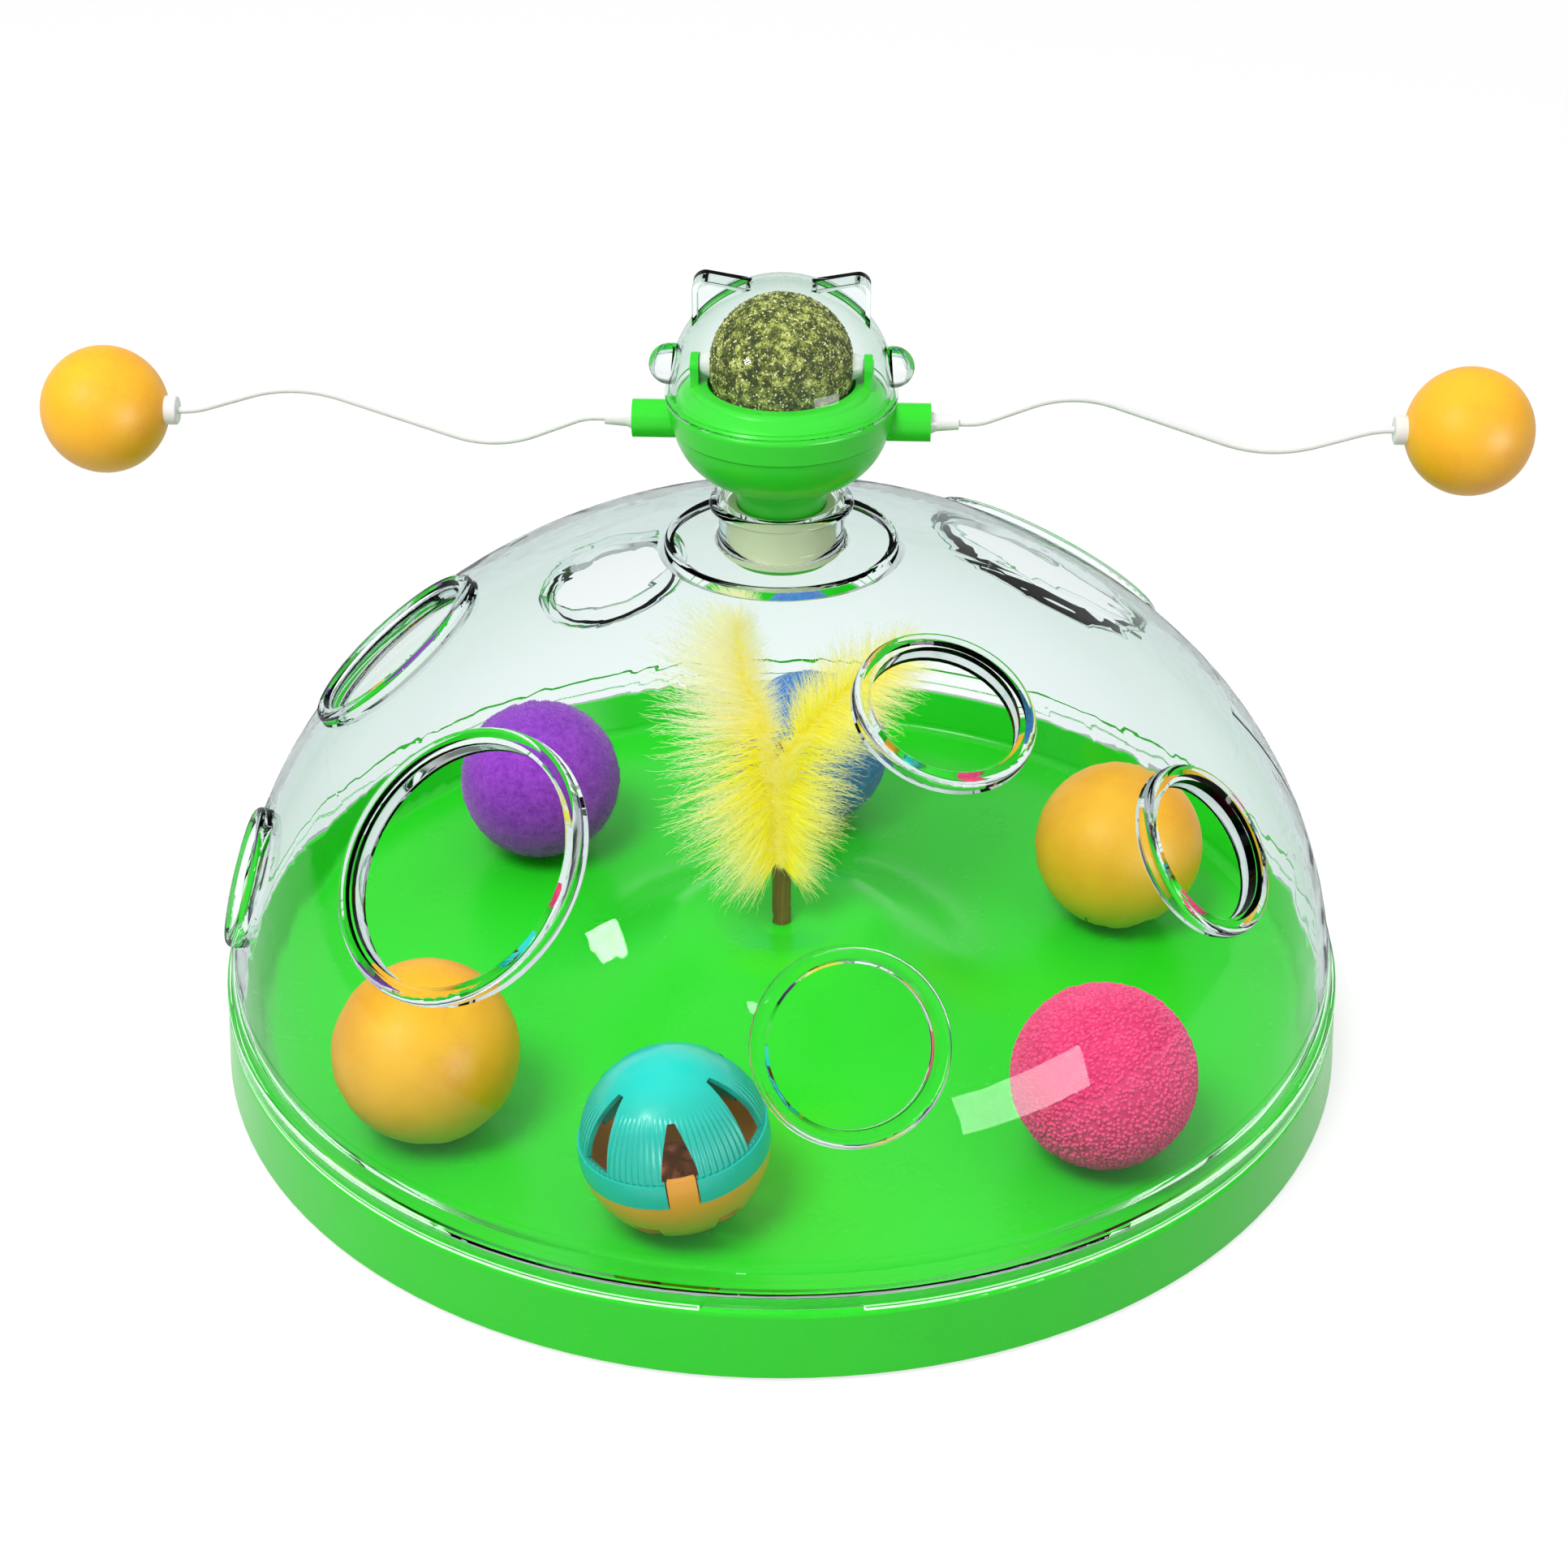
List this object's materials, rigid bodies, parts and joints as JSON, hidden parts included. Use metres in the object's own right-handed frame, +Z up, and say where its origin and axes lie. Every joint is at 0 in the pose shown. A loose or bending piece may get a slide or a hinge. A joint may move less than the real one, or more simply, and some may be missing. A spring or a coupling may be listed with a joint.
{
  "type": "cat track ball toy",
  "caption": "Free-standing cat toy: loose balls on a round track under a clear domed cover with paw holes, and a spinning top with a catnip ball and balls on springy wires.",
  "frame": {"origin": "centre of the tray's foot, on the surface that the toy stands on", "axes": "+Z up along the turret's spin axis; +X to the right, along the wire arms; the pictured front faces -Y"},
  "size_m": [0.3152, 0.259, 0.1829],
  "materials": {
    "tray_green": "satin moulded green",
    "pad_rubber": "matt",
    "clear_dome": "clear polished",
    "sleeve_cream": "satin off-white",
    "turret_green": "satin moulded green",
    "screw_steel": "plated",
    "axle_white": "satin white",
    "catnip_herb": "pressed dried herb",
    "clear_cover": "clear polished",
    "relief_white": "satin white",
    "wire_white": "white coated spring wire",
    "plug_white": "satin white",
    "ball_orange": "satin amber orange",
    "plush_purple": "short plush",
    "plush_blue": "short plush",
    "plush_pink": "short plush",
    "cage_teal": "satin teal",
    "cage_orange": "satin orange",
    "bell_metal": "copper-toned plating",
    "stick_brown": "stained",
    "plume_yellow": "feather"
  },
  "bodies": {
    "base": {"base_tray": "tray_green", "anti_slip_pads": "pad_rubber"},
    "dome": {"dome_cover": "clear_dome", "neck_bushing": "sleeve_cream"},
    "turret": {"turret_cup": "turret_green", "retaining_washer": "turret_green", "retaining_screw": "screw_steel", "left_strain_relief": "relief_white", "right_strain_relief": "relief_white"},
    "catnip": {"catnip_axle": "axle_white", "catnip_ball": "catnip_herb"},
    "cover": {"cat_cover": "clear_cover"},
    "left_arm": {"left_wire": "wire_white", "left_ball_plug": "plug_white", "left_swat_ball": "ball_orange"},
    "right_arm": {"right_wire": "wire_white", "right_ball_plug": "plug_white", "right_swat_ball": "ball_orange"},
    "wand": {"wand_stick": "stick_brown", "left_plume": "plume_yellow", "right_plume": "plume_yellow"},
    "purple_track_ball": {"purple_ball": "plush_purple"},
    "blue_track_ball": {"blue_ball": "plush_blue"},
    "pink_track_ball": {"pink_ball": "plush_pink"},
    "right_orange_track_ball": {"orange_ball_right": "ball_orange"},
    "left_orange_track_ball": {"orange_ball_left": "ball_orange"},
    "bell_track_ball": {"bell_cage_upper": "cage_teal", "bell_cage_lower": "cage_orange"},
    "bell": {"bell_shell": "bell_metal", "bell_pellet": "bell_metal"}
  },
  "joints": [
    {"name": "dome_lift", "type": "slide", "parent": "base", "child": "dome", "axis": [0, 0, 1], "range_m": [0, 0.12]},
    {"name": "turret_spin", "type": "hinge", "parent": "dome", "child": "turret", "pos_m": [0, 0, 0.1265], "axis": [0, 0, 1], "continuous": true},
    {"name": "catnip_spin", "type": "hinge", "parent": "turret", "child": "catnip", "pos_m": [0, 0, 0.1634], "axis": [0.9992, -0.0401, 0], "continuous": true},
    {"name": "cover_lift", "type": "slide", "parent": "turret", "child": "cover", "axis": [0, 0, 1], "range_m": [0, 0.05]},
    {"name": "left_arm_flex", "type": "hinge", "parent": "turret", "child": "left_arm", "pos_m": [-0.03677, 0.00148, 0.151], "axis": [-0.0401, -0.9992, 0], "range_deg": [-20, 20], "stiffness_Nm_per_rad": 0.08, "springref_deg": -2.61},
    {"name": "right_arm_flex", "type": "hinge", "parent": "turret", "child": "right_arm", "pos_m": [0.03677, -0.00148, 0.151], "axis": [0.0401, 0.9992, 0], "range_deg": [-20, 20], "stiffness_Nm_per_rad": 0.08, "springref_deg": -2.61},
    {"name": "wand_pull", "type": "slide", "parent": "base", "child": "wand", "axis": [0, 0, 1], "range_m": [0, 0.009]},
    {"name": "purple_ball_round_track", "type": "hinge", "parent": "base", "child": "purple_track_ball", "pos_m": [0, 0, 0.0293], "axis": [0, 0, 1], "continuous": true},
    {"name": "blue_ball_round_track", "type": "hinge", "parent": "base", "child": "blue_track_ball", "pos_m": [0, 0, 0.0293], "axis": [0, 0, 1], "continuous": true},
    {"name": "pink_ball_round_track", "type": "hinge", "parent": "base", "child": "pink_track_ball", "pos_m": [0, 0, 0.0293], "axis": [0, 0, 1], "continuous": true},
    {"name": "right_orange_ball_round_track", "type": "hinge", "parent": "base", "child": "right_orange_track_ball", "pos_m": [0, 0, 0.0293], "axis": [0, 0, 1], "continuous": true},
    {"name": "left_orange_ball_round_track", "type": "hinge", "parent": "base", "child": "left_orange_track_ball", "pos_m": [0, 0, 0.0293], "axis": [0, 0, 1], "continuous": true},
    {"name": "bell_ball_round_track", "type": "hinge", "parent": "base", "child": "bell_track_ball", "pos_m": [0, 0, 0.0293], "axis": [0, 0, 1], "continuous": true},
    {"name": "bell_roll", "type": "hinge", "parent": "bell_track_ball", "child": "bell", "pos_m": [-0.0221, -0.0884, 0.0293], "axis": [1, 0, 0], "continuous": true}
  ],
  "couplings": [
    {"joint": "blue_ball_round_track", "follows": "purple_ball_round_track", "ratio": 1},
    {"joint": "pink_ball_round_track", "follows": "purple_ball_round_track", "ratio": 1},
    {"joint": "right_orange_ball_round_track", "follows": "purple_ball_round_track", "ratio": 1},
    {"joint": "left_orange_ball_round_track", "follows": "purple_ball_round_track", "ratio": 1},
    {"joint": "bell_ball_round_track", "follows": "purple_ball_round_track", "ratio": 1}
  ]
}
